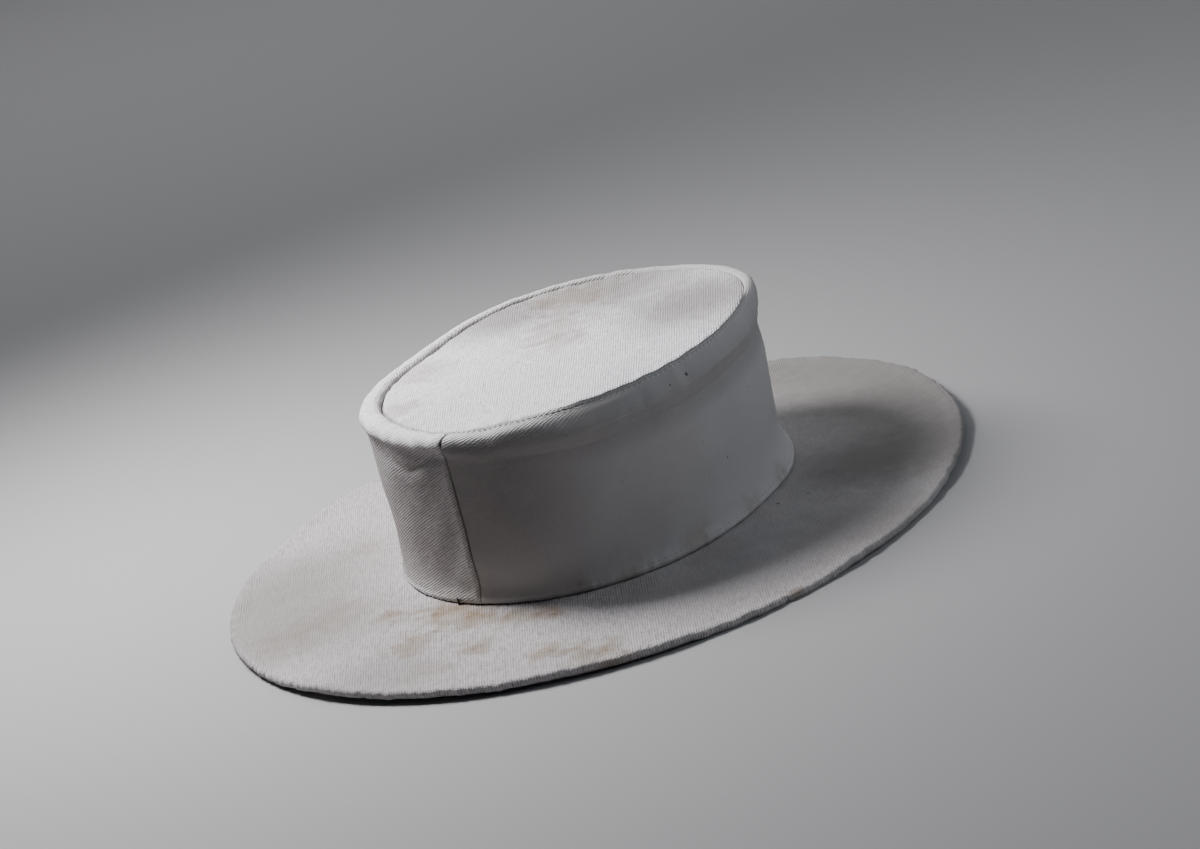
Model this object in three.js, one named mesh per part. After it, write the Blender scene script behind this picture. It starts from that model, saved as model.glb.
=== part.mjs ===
// A canvas boater: a stiff oval crown with a rolled top edge, a flat tip and a wide flat brim.
// Millimetres, +Z up. The origin lies under the middle of the brim, on the surface that it rests on.
// +Y is the back, where the side band is sewn together, and -Y is the front.
import * as THREE from 'three';

const { clamp, degToRad, euclideanModulo, lerp, smoothstep } = THREE.MathUtils;

// The crown, measured over the cloth at its foot
const HEAD_LENGTH = 200;
const HEAD_WIDTH = 172;
const CROWN_HEIGHT = 78.5;
const CROWN_LEAN = { x: -0.9, y: -0.8 };

// The brim, measured over its turned edge. The foot is where the crown stands on it.
const BRIM_LENGTH = 366;
const BRIM_WIDTH = 326;
const FOOT_HEIGHT = 4.8;
const FOOT_LEDGE = 1;
const EDGE_BAND = 7;
const EDGE_THICKNESS = 3.6;

// Cloth walls, and the gap that sewn pieces keep
const SIDE_WALL = 2.2;
const TIP_WALL = 2.2;
const BRIM_WALL = 2.8;
const GAP = 0.3;

// The tip lies a little below the roll round it and is faintly domed
const TIP_SINK = 0.6;
const TIP_DOME = 0.8;

// Facets round the hat, and the share of the way out at which the flat pieces have a ring of vertices
const STEPS_AROUND = 72;
const TIP_RINGS = [0.25, 0.45, 0.62, 0.76, 0.88, 0.95];
const BRIM_RINGS = [0, 0.35, 0.7];
const EDGE_TURNS = [-60, -30, 0, 30, 60];

// Side band from its foot to the tip's seam: out is the distance outside the foot's oval, and up is
// the height above the brim. It has a sewn lip, a slightly hollow wall, a groove and a fat roll.
const ROLL_WIDEST = { out: 0.9, up: 75 };
const TIP_SEAM = { out: -7.5, up: 78.1 };
const SIDE_OUTLINE = [
  { out: -1.4, up: 0 },
  { out: -0.8, up: 0.8 },
  { out: -0.6, up: 1.9 },
  { out: -1.0, up: 3.1 },
  { out: -1.7, up: 4.8 },
  { out: -2.3, up: 8.5 },
  { out: -2.4, up: 25 },
  { out: -2.0, up: 42 },
  { out: -1.4, up: 57 },
  { out: -1.2, up: 64 },
  { out: -0.9, up: 70 },
  { out: 0.2, up: 72.8 },
  ROLL_WIDEST,
  { out: 0.4, up: 77 },
  { out: -0.9, up: 78.5 },
  { out: -3.2, up: 79.1 },
  { out: -6.0, up: 78.8 },
  TIP_SEAM,
];

// The crown's top edge, every 30 degrees from +X towards the back: lift is its height above an
// even crown, and strip is the width of side band that is turned over onto the top.
const EVEN_STRIP = 6.5;
const TOP_EDGE = [
  { lift: -3.25, strip: 7.5 },
  { lift: -2.5, strip: 8 },
  { lift: -1.0, strip: 8.5 },
  { lift: -2.75, strip: 7.5 },
  { lift: -0.5, strip: 7 },
  { lift: 0.75, strip: 5.5 },
  { lift: 2.5, strip: 4.5 },
  { lift: 4.5, strip: 3.5 },
  { lift: 3.5, strip: 5 },
  { lift: 1.75, strip: 6 },
  { lift: 2.0, strip: 6 },
  { lift: 1.25, strip: 6.5 },
];

// The crown's foot, every 30 degrees from +X towards the back: lift is its height above a level foot
const FOOT_WAVE = [
  { lift: -0.4 },
  { lift: -0.8 },
  { lift: -0.4 },
  { lift: -0.6 },
  { lift: -1.6 },
  { lift: -1.9 },
  { lift: -0.4 },
  { lift: 0.8 },
  { lift: 1.4 },
  { lift: 1.4 },
  { lift: 1.0 },
  { lift: 0.3 },
];

// The brim's edge, every 30 degrees from +X towards the back: lift is the height of its underside
// above the surface. The brim rests where the lift is nothing.
const RIM_WAVE = [
  { lift: 0 },
  { lift: 0 },
  { lift: 1 },
  { lift: 2 },
  { lift: 1.25 },
  { lift: 0 },
  { lift: 0.25 },
  { lift: 2.75 },
  { lift: 3.75 },
  { lift: 1.5 },
  { lift: 0 },
  { lift: 0 },
];

// Shallow hollows in the tip's cloth
const TIP_DENTS = [
  { x: 46, y: -46, depth: 1.0, reach: 20 },
  { x: -48, y: -28, depth: 0.8, reach: 18 },
  { x: 18, y: -18, depth: 0.6, reach: 26 },
];

const HALF_LENGTH = HEAD_LENGTH / 2;
const HALF_WIDTH = HEAD_WIDTH / 2;
const NARROWEST = Math.min(...SIDE_OUTLINE.slice(0, -4).map((row) => row.out));
const OPENING_INSET = SIDE_WALL - NARROWEST;

// Reads a column of a table of evenly spaced rows as a smooth closed function of the angle
function around(table, column) {
  const knots = table.map((row) => new THREE.Vector3(row[column], 0, 0));
  const curve = new THREE.CatmullRomCurve3(knots, true, 'catmullrom');
  return (angle) => curve.getPoint(euclideanModulo(angle / (2 * Math.PI), 1)).x;
}

const topLift = around(TOP_EDGE, 'lift');
const topStrip = around(TOP_EDGE, 'strip');
const rimWave = around(RIM_WAVE, 'lift');
const rimLift = (angle) => Math.max(0, rimWave(angle));
const footLift = around(FOOT_WAVE, 'lift');
const footLevel = (angle) => FOOT_HEIGHT + footLift(angle);
const topLevel = (angle) => FOOT_HEIGHT + CROWN_HEIGHT + topLift(angle);

// Turns a profile round the axis, then moves each vertex from its round ring to its true place
function turnedCloth(name, colour, profile, place) {
  const geometry = new THREE.LatheGeometry(profile, STEPS_AROUND);
  geometry.rotateX(Math.PI / 2);
  const position = geometry.attributes.position;
  const vertex = new THREE.Vector3();
  for (let i = 0; i < position.count; i++) {
    vertex.fromBufferAttribute(position, i);
    const angle = Math.atan2(vertex.y, vertex.x);
    const radius = Math.hypot(vertex.x, vertex.y);
    const spot = place(angle, radius, vertex.z);
    position.setXYZ(i, spot.x, spot.y, spot.z);
  }
  geometry.computeVertexNormals();
  const cloth = new THREE.MeshStandardMaterial({ color: colour, roughness: 0.92, metalness: 0 });
  const mesh = new THREE.Mesh(geometry, cloth);
  mesh.name = name;
  return mesh;
}

// The wall's other face: each point of an open outline, moved to its left by the wall's thickness
function innerFace(outline, wall) {
  return outline.map((point, i) => {
    const before = outline[Math.max(i - 1, 0)];
    const after = outline[Math.min(i + 1, outline.length - 1)];
    const along = after.clone().sub(before).normalize();
    return new THREE.Vector2(point.x - along.y * wall, point.y + along.x * wall);
  });
}

// Side band: one wall from the brim up over the roll, with a level foot and an upright edge at the tip
function crownSide() {
  const outer = SIDE_OUTLINE.map((row) => new THREE.Vector2(HALF_LENGTH + row.out, row.up));
  const inner = innerFace(outer, SIDE_WALL);
  inner[0].y = outer[0].y;
  inner.at(-1).x = outer.at(-1).x;
  const profile = [...outer, ...inner.reverse(), outer[0]];
  return turnedCloth('crown_side', 0xd2cfca, profile, (angle, radius, up) => {
    const even = radius - HALF_LENGTH;
    const turned = smoothstep(up, ROLL_WIDEST.up - SIDE_WALL, ROLL_WIDEST.up);
    const across = clamp((ROLL_WIDEST.out - even) / (ROLL_WIDEST.out - TIP_SEAM.out), 0, 1);
    const out = even + (EVEN_STRIP - topStrip(angle)) * across * turned;
    const rise = up / CROWN_HEIGHT;
    const x = (HALF_WIDTH + out) * Math.cos(angle) + CROWN_LEAN.x * rise;
    const y = (HALF_LENGTH + out) * Math.sin(angle) + CROWN_LEAN.y * rise;
    return new THREE.Vector3(x, y, lerp(footLevel(angle) + GAP, topLevel(angle), rise));
  });
}

// The plane that lies closest to the crown's top edge: its mean lift and its tilt to +X and +Y
function topPlane() {
  const share = 1 / TOP_EDGE.length;
  const plane = { mean: 0, x: 0, y: 0 };
  TOP_EDGE.forEach((row, i) => {
    const angle = i * share * 2 * Math.PI;
    plane.mean += row.lift * share;
    plane.x += 2 * row.lift * Math.cos(angle) * share;
    plane.y += 2 * row.lift * Math.sin(angle) * share;
  });
  return plane;
}

// Tip: an oval panel set inside the roll, level with its own edge, faintly domed and dented
function crownTip() {
  const rings = TIP_RINGS.map((share) => share * HALF_LENGTH);
  const profile = [
    new THREE.Vector2(0, -TIP_WALL),
    ...rings.map((radius) => new THREE.Vector2(radius, -TIP_WALL)),
    new THREE.Vector2(HALF_LENGTH, -TIP_WALL),
    new THREE.Vector2(HALF_LENGTH, 0),
    ...rings.toReversed().map((radius) => new THREE.Vector2(radius, 0)),
    new THREE.Vector2(0, 0),
  ];
  const plane = topPlane();
  const level = FOOT_HEIGHT + CROWN_HEIGHT - TIP_SINK + plane.mean;
  return turnedCloth('crown_tip', 0xdedbd6, profile, (angle, radius, up) => {
    const share = radius / HALF_LENGTH;
    const out = TIP_SEAM.out + EVEN_STRIP - topStrip(angle) - GAP;
    const x = (HALF_WIDTH + out) * share * Math.cos(angle) + CROWN_LEAN.x;
    const y = (HALF_LENGTH + out) * share * Math.sin(angle) + CROWN_LEAN.y;
    const slope = plane.x * Math.cos(angle) + plane.y * Math.sin(angle);
    const ripple = topLift(angle) - plane.mean - slope;
    const dome = TIP_DOME * (1 - share ** 2);
    const dents = TIP_DENTS.reduce((sum, dent) => {
      const away = Math.hypot(x - dent.x, y - dent.y) / dent.reach;
      return sum + dent.depth * Math.exp(-(away ** 2)) * (1 - share ** 4);
    }, 0);
    const z = level + share * slope + share ** 2 * ripple + dome - dents + up;
    return new THREE.Vector3(x, y, z);
  });
}

// Brim: a flat sheet from the head opening to a thicker turned edge, lying on parts of that edge
function brim() {
  const rim = BRIM_LENGTH / 2;
  const opening = HALF_LENGTH - OPENING_INSET;
  const foot = HALF_LENGTH + FOOT_LEDGE;
  const band = rim - EDGE_BAND;
  const turn = EDGE_THICKNESS / 2;
  const sheet = [opening, ...BRIM_RINGS.map((share) => lerp(foot, band, share)), band];
  const edge = EDGE_TURNS.map((degrees) => {
    const angle = degToRad(degrees);
    return new THREE.Vector2(rim - turn + turn * Math.cos(angle), turn + turn * Math.sin(angle));
  });
  const profile = [
    ...sheet.map((radius) => new THREE.Vector2(radius, 0)),
    new THREE.Vector2(rim - turn, 0),
    ...edge,
    new THREE.Vector2(rim - turn, EDGE_THICKNESS),
    ...sheet.toReversed().map((radius) => new THREE.Vector2(radius, BRIM_WALL)),
    new THREE.Vector2(opening, 0),
  ];
  return turnedCloth('brim', 0xd8d5d0, profile, (angle, radius, up) => {
    const share = (radius - opening) / (rim - opening);
    const halfWidth = lerp(HALF_WIDTH - OPENING_INSET, BRIM_WIDTH / 2, share);
    const reach = clamp((radius - foot) / (band - foot), 0, 1);
    const underside = lerp(footLevel(angle) - BRIM_WALL, rimLift(angle), reach);
    return new THREE.Vector3(halfWidth * Math.cos(angle), radius * Math.sin(angle), underside + up);
  });
}

const boater = new THREE.Group();
boater.add(brim(), crownSide(), crownTip());

export default boater;
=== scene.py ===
# %% [markdown]
# # A canvas boater
# The hat is sewn from three pieces of stiff white cotton drill: an oval tip, a side band that rolls over
# at the top, and a wide flat brim with a turned edge. The imported solids give the frame, in metres, and
# each cloth piece made here stands where its solid stands. The box of the solids is kept.

import math

import bmesh
import bpy
import numpy as np
from mathutils import Matrix, Vector


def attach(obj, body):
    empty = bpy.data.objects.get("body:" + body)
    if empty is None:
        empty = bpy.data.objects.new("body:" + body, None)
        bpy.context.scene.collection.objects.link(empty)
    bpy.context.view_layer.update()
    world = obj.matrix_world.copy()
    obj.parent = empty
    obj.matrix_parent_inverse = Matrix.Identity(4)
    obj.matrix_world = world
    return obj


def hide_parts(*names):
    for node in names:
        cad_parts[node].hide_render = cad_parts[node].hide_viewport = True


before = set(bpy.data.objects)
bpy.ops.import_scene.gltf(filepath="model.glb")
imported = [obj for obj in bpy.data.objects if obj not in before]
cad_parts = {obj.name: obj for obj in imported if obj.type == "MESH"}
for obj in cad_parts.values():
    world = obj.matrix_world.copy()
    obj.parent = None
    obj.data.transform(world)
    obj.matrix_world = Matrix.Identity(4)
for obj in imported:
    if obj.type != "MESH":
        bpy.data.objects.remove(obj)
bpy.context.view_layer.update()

# %% [markdown]
# ## The camera
# The hat is seen from behind and to its right, from a little above, with the picture tilted. A long lens
# keeps the two ends of the oval almost equal in size. The camera's axes are worked out from the line of
# sight, and the tilt turns them about it.

# %% Camera
MM = 0.001
CAMERA_SPOT = Vector((-0.7821, 1.0066, 0.4593))
CAMERA_YAW = math.radians(-142.623)
CAMERA_PITCH = math.radians(18.083)
CAMERA_TILT = math.radians(-14.270)
LENS_MM = 90
SENSOR_MM = 36


def camera_axes(yaw, pitch, tilt):
    """Gives the camera's right, up and backward axes as the columns of a matrix."""
    sight = Vector((-math.sin(yaw) * math.cos(pitch), math.cos(yaw) * math.cos(pitch), -math.sin(pitch)))
    right = sight.cross(Vector((0, 0, 1))).normalized()
    up = right.cross(sight)
    turned_right = math.cos(tilt) * right + math.sin(tilt) * up
    turned_up = math.cos(tilt) * up - math.sin(tilt) * right
    return Matrix((turned_right, turned_up, -sight)).transposed()


lens = bpy.data.cameras.new("camera")
lens.lens = LENS_MM
lens.sensor_fit = "HORIZONTAL"
lens.sensor_width = SENSOR_MM
camera = bpy.data.objects.new("camera", lens)
axes = camera_axes(CAMERA_YAW, CAMERA_PITCH, CAMERA_TILT)
camera.matrix_world = Matrix.Translation(CAMERA_SPOT) @ axes.to_4x4()
bpy.context.scene.collection.objects.link(camera)
bpy.context.scene.camera = camera
print("camera", round(CAMERA_SPOT.length, 3), "m from the hat's middle")

# %% [markdown]
# ## Light
# One soft oval lamp stands close by on the hat's left, high up, so that the crown throws a soft shadow
# across the brim and the ribs of the cloth show in the raking light. Alone, it would leave the right side
# almost black, so a weak, wide and slightly cool lamp on that side lifts the shaded half. A third lamp
# hangs over the floor beyond the hat and keeps it pale, and a dim sky fills the rest.

# %% Light
SKY_WHITE = (0.95, 0.97, 1.0)
SKY_STRENGTH = 0.03
KEY = {"spot": (0.365, 0.040, 0.475), "aim": (0.03, 0.09, 0.03), "size": (0.21, 0.33), "watts": 5.0}
FILL = {"spot": (-1.25, -0.73, 1.10), "aim": (0.0, 0.0, 0.04), "size": (1.5, 1.5), "watts": 9.0}
BACK = {"spot": (1.30, -1.05, 1.25), "aim": (1.30, -1.05, 0.0), "size": (2.2, 2.2), "watts": 15.0}


def lamp(name, spot, aim, size, watts, colour, spread=180):
    """Adds an oval area lamp, (wide, tall), that looks from spot to aim. Its spread is in degrees."""
    light = bpy.data.lights.new(name, "AREA")
    light.shape = "ELLIPSE"
    light.size, light.size_y = size
    light.energy = watts
    light.color = colour
    light.spread = math.radians(spread)
    holder = bpy.data.objects.new(name, light)
    turn = (Vector(aim) - Vector(spot)).to_track_quat("-Z", "Y")
    holder.matrix_world = Matrix.Translation(spot) @ turn.to_matrix().to_4x4()
    bpy.context.scene.collection.objects.link(holder)


lamp("key_lamp", **KEY, colour=(1.0, 0.98, 0.98), spread=145)
lamp("fill_lamp", **FILL, colour=(0.86, 0.93, 1.0))
lamp("back_lamp", **BACK, colour=(1.0, 1.0, 1.0))
sky = bpy.data.worlds.new("studio")
sky.use_nodes = True
sky.node_tree.nodes["Background"].inputs["Color"].default_value = (*SKY_WHITE, 1.0)
sky.node_tree.nodes["Background"].inputs["Strength"].default_value = SKY_STRENGTH
bpy.context.scene.world = sky
print("three lamps, and a sky of strength", SKY_STRENGTH)

# %% [markdown]
# ## Floor
# The hat lies on a plain pale floor. One square is enough, far wider than the view.

# %% Floor
FLOOR_HALF = 6.0
FLOOR_GREY = (0.33, 0.33, 0.34)
FLOOR_ROUGHNESS = 0.8

floor_mesh = bmesh.new()
bmesh.ops.create_grid(floor_mesh, x_segments=1, y_segments=1, size=FLOOR_HALF)
floor_data = bpy.data.meshes.new("floor")
floor_mesh.to_mesh(floor_data)
floor_mesh.free()
floor = bpy.data.objects.new("floor", floor_data)
bpy.context.scene.collection.objects.link(floor)
floor_paint = bpy.data.materials.new("floor_paint")
floor_paint.use_nodes = True
floor_shader = floor_paint.node_tree.nodes["Principled BSDF"]
floor_shader.inputs["Base Color"].default_value = (*FLOOR_GREY, 1.0)
floor_shader.inputs["Roughness"].default_value = FLOOR_ROUGHNESS
floor_data.materials.append(floor_paint)
print("floor", 2 * FLOOR_HALF, "m wide")

# %% [markdown]
# ## A socket that can be calculated with
# The weave is a sum of waves, and a chain of Math nodes is hard to read as a list of links. This class
# wraps one socket, so that a wave is written as an ordinary expression and each operator adds its node.
# Every other kind of node comes from one method.

# %% Shader arithmetic
class Field:
    """A value that changes over a surface: it wraps a socket, and operators on it add Math nodes."""

    def __init__(self, tree, socket=None):
        self.tree = tree
        self.socket = socket

    def node(self, kind, settings=None, inputs=None, out=0):
        """Adds a node of any kind: its settings first, then the values or links of its sockets."""
        made = self.tree.nodes.new(kind)
        for name, value in (settings or {}).items():
            setattr(made, name, value)
        for name, value in (inputs or {}).items():
            if isinstance(value, Field):
                self.tree.links.new(value.socket, made.inputs[name])
            else:
                made.inputs[name].default_value = value
        return Field(self.tree, made.outputs[out])

    def maths(self, operation, *values):
        return self.node("ShaderNodeMath", {"operation": operation}, dict(enumerate(values)))

    def __add__(self, other):
        return self.maths("ADD", self, other)

    def __sub__(self, other):
        return self.maths("SUBTRACT", self, other)

    def __rsub__(self, other):
        return self.maths("SUBTRACT", other, self)

    def __mul__(self, other):
        return self.maths("MULTIPLY", self, other)

    def __truediv__(self, other):
        return self.maths("DIVIDE", self, other)

    def wave(self):
        """A sine of this value, between 0 and 1."""
        return self.maths("SINE", self) * 0.5 + 0.5

    def step(self, low, high, at_low=0.0, at_high=1.0):
        """Goes smoothly from at_low to at_high while this value goes from low to high."""
        ends = {"Value": self, "From Min": low, "From Max": high, "To Min": at_low, "To Max": at_high}
        return self.node("ShaderNodeMapRange", {"interpolation_type": "SMOOTHSTEP"}, ends)

    __radd__ = __add__
    __rmul__ = __mul__


print("shader arithmetic ready")

# %% [markdown]
# ## Cotton drill
# Drill is a twill: each weft thread passes over its warp threads one step further along, so the cloth has
# fine diagonal ribs, here a little over a millimetre apart. On the real hat they are uneven, with thicker
# threads and faint tan streaks. The weave could be modelled thread by thread, which would take millions
# of faces, so it is a height for a Bump node, and a little painted shade darkens the grooves as well. On
# the flat pieces the pattern reads Object coordinates, and on the side band it reads a map that follows
# the cloth.

# %% Weave
RIB_PITCH = 0.0011
YARN_PITCH = 0.00105
RIB_HEIGHT = 0.00030
RIB_WANDER = 0.0010
WANDERS_PER_METRE = 190.0
SLUBS_PER_METRE = 800.0


def noise(desk, place, scale, detail=2.0):
    """Cloudy noise around 0.5, with scale in features to the metre."""
    inputs = {"Vector": place, "Scale": scale, "Detail": detail, "Roughness": 0.55}
    return desk.node("ShaderNodeTexNoise", {}, inputs)


def drill_weave(desk, across, along):
    """Heights of the cloth, its ribs and its thick threads, from places across and along the ribs."""
    sheet = desk.node("ShaderNodeCombineXYZ", {}, {"X": across, "Y": along * 0.18, "Z": 0.0})
    loose = desk.node("ShaderNodeCombineXYZ", {}, {"X": across, "Y": along * 0.5, "Z": 0.0})
    wander = (noise(desk, loose, WANDERS_PER_METRE, 3.0) - 0.5) * RIB_WANDER
    turn = (across + wander) * (2 * math.pi / RIB_PITCH)
    rib = turn.wave()
    yarn = (along * (2 * math.pi / YARN_PITCH) + turn * 0.5).wave()
    slub = noise(desk, sheet, SLUBS_PER_METRE, 3.0)
    height = rib * (yarn * 0.7 + 0.3) + (slub - 0.5) * 0.8
    return height, rib, slub


print("ribs", RIB_PITCH / MM, "mm apart")

# %% [markdown]
# ## Marks on the side band
# The band has marks that follow its cloth: needle holes beside the tip, a line in the groove where its
# end is turned under, and ribs that are lower and fainter on the shaded right. The holes and the line are
# darkened as painted shade. More painted shade lies beside the seam, in the crease under the roll and over
# the left panel, where it is tinted pink as a painted reflection, and painted light whitens the lit turned
# strip, the lip and the foot. They could be small meshes, but they are as thin as the cloth's colour, so
# they are masks. Each reads the band's map, where u runs round the head from the seam and v along the
# profile, both in metres. A row is a place along the profile, in millimetres.

# %% Band marks
STITCH_PITCH = 2.8
SEAM_LINE = 0.3
GIRTH = 0.5843
# The white of painted light, where the turned strip is lit, on the lip and at the foot.
ROLL_LIT_WHITE = (0.80, 0.785, 0.79)
# The grey of painted shade beside the seam and in the crease under the roll.
RIGHT_SHADE_GREY = (0.27, 0.25, 0.25)
# The pink grey of painted shade, with a painted pink reflection, on the left panel.
LEFT_PINK_SHADE = (0.30, 0.266, 0.268)
SEAM_SHADE = (0.05, 0.045, 0.04)
BAND_RIBS = 1.9
SHADED_RIB_SHARE = 0.12


def mix_colour(desk, share, first, second):
    """Mixes two colours by a share between 0 and 1."""
    return desk.node("ShaderNodeMix", {"data_type": "RGBA"}, {0: share, 6: first, 7: second}, out=2)


def needle_holes(desk, u, v, row, ragged):
    """Dashes of painted shade, evenly spaced along a row, strong right of the seam and faint elsewhere."""
    beat = desk.maths("FRACT", u / (STITCH_PITCH * MM)) - 0.5
    sideways = beat * (STITCH_PITCH * 0.75)
    upwards = (v / MM - row) * 1.3 + (ragged - 0.5) * 1.6
    away = desk.maths("SQRT", sideways * sideways + upwards * upwards)
    strong = u.step(0.050, 0.085, 1.0, 0.2)
    return away.step(0.95, 0.35) * strong


def lap_line(desk, u, v, row):
    """Painted shade in the groove where the band's end is turned under, deepest in the notch by the tip.
    """
    line = desk.maths("ABSOLUTE", u / MM - SEAM_LINE).step(0.6, 0.1)
    aside = desk.maths("ABSOLUTE", desk.maths("FRACT", u / GIRTH + 0.5) - 0.5) * (GIRTH / MM)
    notch = aside.step(1.0, 0.5) * (v / MM).step(row - 9.5, row - 7.0)
    return line * (v / MM).step(row - 16.0, row - 32.0, 0.15, 0.5) + notch * 0.95


def band_white(desk, u, v, row, white):
    """The band's colour, with painted shade on the wall and painted light on the lit strip and the lip."""
    # Painted shade on the wall just right of the seam.
    seam_shade_share = u.step(0.015, 0.095, 1.0, 0.0) * v.step(0.0, 0.045, 0.6, 1.0)
    # The left panel is darkened and tinted pink: painted shade with a painted pink reflection.
    left = u.step(0.36, 0.45) * (1 - u.step(0.555, 0.582) * v.step(0.060, 0.010) * 0.7)
    left = left * v.step(0.015, 0.075, 1.0, 0.62)
    plain = mix_colour(desk, seam_shade_share, (*white, 1.0), (*RIGHT_SHADE_GREY, 1.0))
    plain = mix_colour(desk, left, plain, (*LEFT_PINK_SHADE, 1.0))
    shaded = u.step(0.025, 0.080) * u.step(0.34, 0.29)
    # Painted shade in the crease under the roll, on the shaded side.
    crease = (v / MM).step(row - 34.0, row - 21.0) * (v / MM).step(row - 1.0, row - 13.0)
    plain = mix_colour(desk, crease * shaded * 0.42, plain, (*RIGHT_SHADE_GREY, 1.0))
    # Painted light: the lit turned strip, a band beside the seam, the lip and the foot are whitened.
    strip = (v / MM + left * 5.0).step(row - 9.0, row - 3.0) * (1 - shaded)
    strip = strip + (v / MM).step(row - 4.0, row) * shaded * 0.18
    lip = (v / MM).step(4.0, 2.5) * (left * 0.4 + 0.26) + v.step(0.028, 0.002) * 0.2
    base_and_lit = desk.maths("MAXIMUM", strip, lip)
    return mix_colour(desk, base_and_lit, plain, (*ROLL_LIT_WHITE, 1.0))


def fade_band_ribs(desk, u, v, row, weave):
    """Lowers the ribs on the right, on the turned strip and at the seam's edge. A weave is its height,
    ribs, thick threads and thread contrast."""
    height, rib, slub, threads = weave
    lit = u.step(0.085, 0.035) * (v / MM).step(row - 10.5, row - 6.0)
    rib_share = desk.maths("MAXIMUM", u.step(0.27, 0.33, SHADED_RIB_SHARE, 1.0), lit * 0.75)
    turned = u.step(0.30, 0.40) * (v / MM).step(row - 15.0, row - 9.0)
    pressed = (1 - turned * 0.8) * u.step(GIRTH - 0.008, GIRTH - 0.002, 1.0, 0.25)
    height = (height - (slub - 0.5) * (1 - rib_share) * 0.75) * rib_share * pressed * BAND_RIBS
    # The threads' contrast is painted shade in the grooves: stronger on the lit left, faint on the shaded
    # right.
    return height, (threads + (rib - 0.5) * 0.4) * rib_share


def sewn_band(desk, u, v, row, ragged, colour, height):
    """Paints shade into the seam line and the needle holes, and sinks the holes into the cloth."""
    holes = needle_holes(desk, u, v, row, ragged)
    dark = desk.maths("MINIMUM", lap_line(desk, u, v, row) + holes * 0.85, 0.95)
    return mix_colour(desk, dark, colour, (*SEAM_SHADE, 1.0)), height - holes * 1.2


print("the band's map is", GIRTH, "m long")

# %% [markdown]
# ## Stains, and painted shade by a seam
# A stain soaks in between the threads, so it has a ragged border and breaks up into speckles. Dust and
# painted shade lie on top, with an even border. A painted picture could hold them, but a distance to a
# spot needs no picture, and the spot is easy to move. The painted shade in the groove beside a seam reads
# the place along the profile, so that it follows the seam all round.

# %% Stains and seam shade
# Painted shade in the groove beside a seam: its colour, and its reach in millimetres.
SEAM_GROOVE_SHADE = (0.10, 0.082, 0.065)
GROOVE_SHADE_REACH = 1.9
RAGGED_BORDER = 2.2
EVEN_BORDER = 0.4


def stain(desk, place, border, x, y, z, reach):
    """A soft-edged patch round a spot, in millimetres; its border is moved by a noise around 0."""
    spot = (x * MM, y * MM, z * MM)
    away = desk.node("ShaderNodeVectorMath", {"operation": "DISTANCE"}, {0: place, 1: spot}, out="Value")
    return (border + away / (reach * MM)).step(1.05, 0.15)


def patched(desk, cloth, patches, ragged, broken, colour):
    """Lays patches of (tint, strength, speckle, spots) over a colour. Dust and painted shade have no
    speckle.
    """
    for tint, strength, speckle, spots in patches:
        border = (ragged - 0.5) * (RAGGED_BORDER if speckle else EVEN_BORDER)
        for spot in spots:
            mask = stain(desk, cloth, border, *spot) * (broken * speckle + (1 - speckle))
            colour = mix_colour(desk, mask * strength, colour, (*tint, 1.0))
    return colour


def shaded_seam_edge(desk, x, y, row, edge, ragged, colour):
    """Paints shade beside a seam, where edge is its place along the profile. A stretch stays clear."""
    if row:
        reach = y / MM
        clear = x.step(0.03, 0.06) * x.step(0.36, 0.28)
    else:
        reach = desk.node("ShaderNodeAttribute", {"attribute_name": "along"}, {}, out="Fac")
        clear = x.step(-0.012, -0.040)
    groove_shade = desk.maths("ABSOLUTE", reach - edge).step(GROOVE_SHADE_REACH, 0.3) * (ragged + 0.25)
    groove_shade = groove_shade * (1 - clear * 0.95)
    return mix_colour(desk, groove_shade * 0.8, colour, (*SEAM_GROOVE_SHADE, 1.0))


# How far the painted shade beside a seam reaches.
print("soil reaches", GROOVE_SHADE_REACH, "mm from a seam")

# %% [markdown]
# ## One finish for three pieces
# All three pieces are cut from the same drill, so one function makes their materials. It starts from the
# weave, fades it round a few spots, and then lays streaks, patches of stain, dust and painted shade,
# flecks and the painted shade beside a seam over the white. Each tip of a rib is a little smoother than
# its groove, which gives the cloth a faint gloss in raking light.

# %% Drill finish
BLOTCHES_PER_METRE = 26.0
RAGS_PER_METRE = 150.0
MOTTLES_PER_METRE = 300.0
FLECKS_PER_METRE = 460.0
GRAINS_PER_METRE = 620.0
STREAK_TAN = (0.40, 0.35, 0.29)
FLECK_BROWN = (0.10, 0.085, 0.07)
GROOVE_ROUGHNESS = 0.93
RIB_GLOSS = 0.06
CLOTH_SPECULAR = 0.25
CLOTH_SHEEN = 0.06


def split(desk, place):
    """The x, y and z of a place."""
    return [desk.node("ShaderNodeSeparateXYZ", {}, {"Vector": place}, out=name) for name in "XYZ"]


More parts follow.
